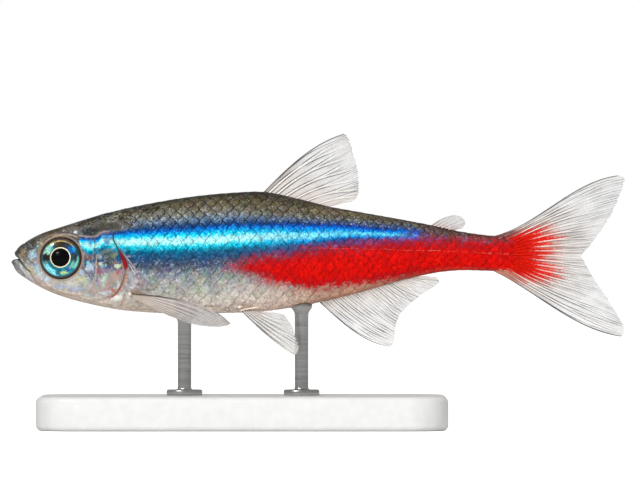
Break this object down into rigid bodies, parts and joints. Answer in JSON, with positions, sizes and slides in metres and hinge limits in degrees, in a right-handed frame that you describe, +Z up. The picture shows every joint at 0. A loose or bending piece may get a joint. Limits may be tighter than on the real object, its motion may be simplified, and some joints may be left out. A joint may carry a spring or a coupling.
{
  "type": "neon tetra",
  "caption": "Life-size still model of a neon tetra, a slender striped aquarium fish with spread clear fins, held over a flat display base by short rods.",
  "frame": {"origin": "on the floor, under the middle of the model's bounding box", "axes": "-X towards the snout, +X towards the tail, +Y towards the fish's right side, +Z up"},
  "size_m": [0.0361, 0.013, 0.0174],
  "materials": {
    "skin": "wet, scaled skin with a blue stripe, a red rear and a silver belly",
    "gill_cover": "pearly bone plate",
    "eye": "glossy, metallic blue-green iris round a black pupil",
    "fin": "clear membrane on pale and dark rays",
    "stand_base": "satin white",
    "stand_rod": "fine brushed"
  },
  "bodies": {
    "root": {"head": "skin", "lower_jaw": "skin", "trunk": "skin", "tail_stalk": "skin", "gill_cover_left": "gill_cover", "gill_cover_right": "gill_cover", "eye_left": "eye", "eye_right": "eye", "dorsal_fin": "fin", "adipose_fin": "fin", "anal_fin": "fin", "tail_fin_upper": "fin", "tail_fin_lower": "fin", "pectoral_fin_left": "fin", "pectoral_fin_right": "fin", "pelvic_fin_left": "fin", "pelvic_fin_right": "fin", "stand_base": "stand_base", "stand_rod_front": "stand_rod", "stand_rod_rear": "stand_rod"}
  },
  "joints": []
}
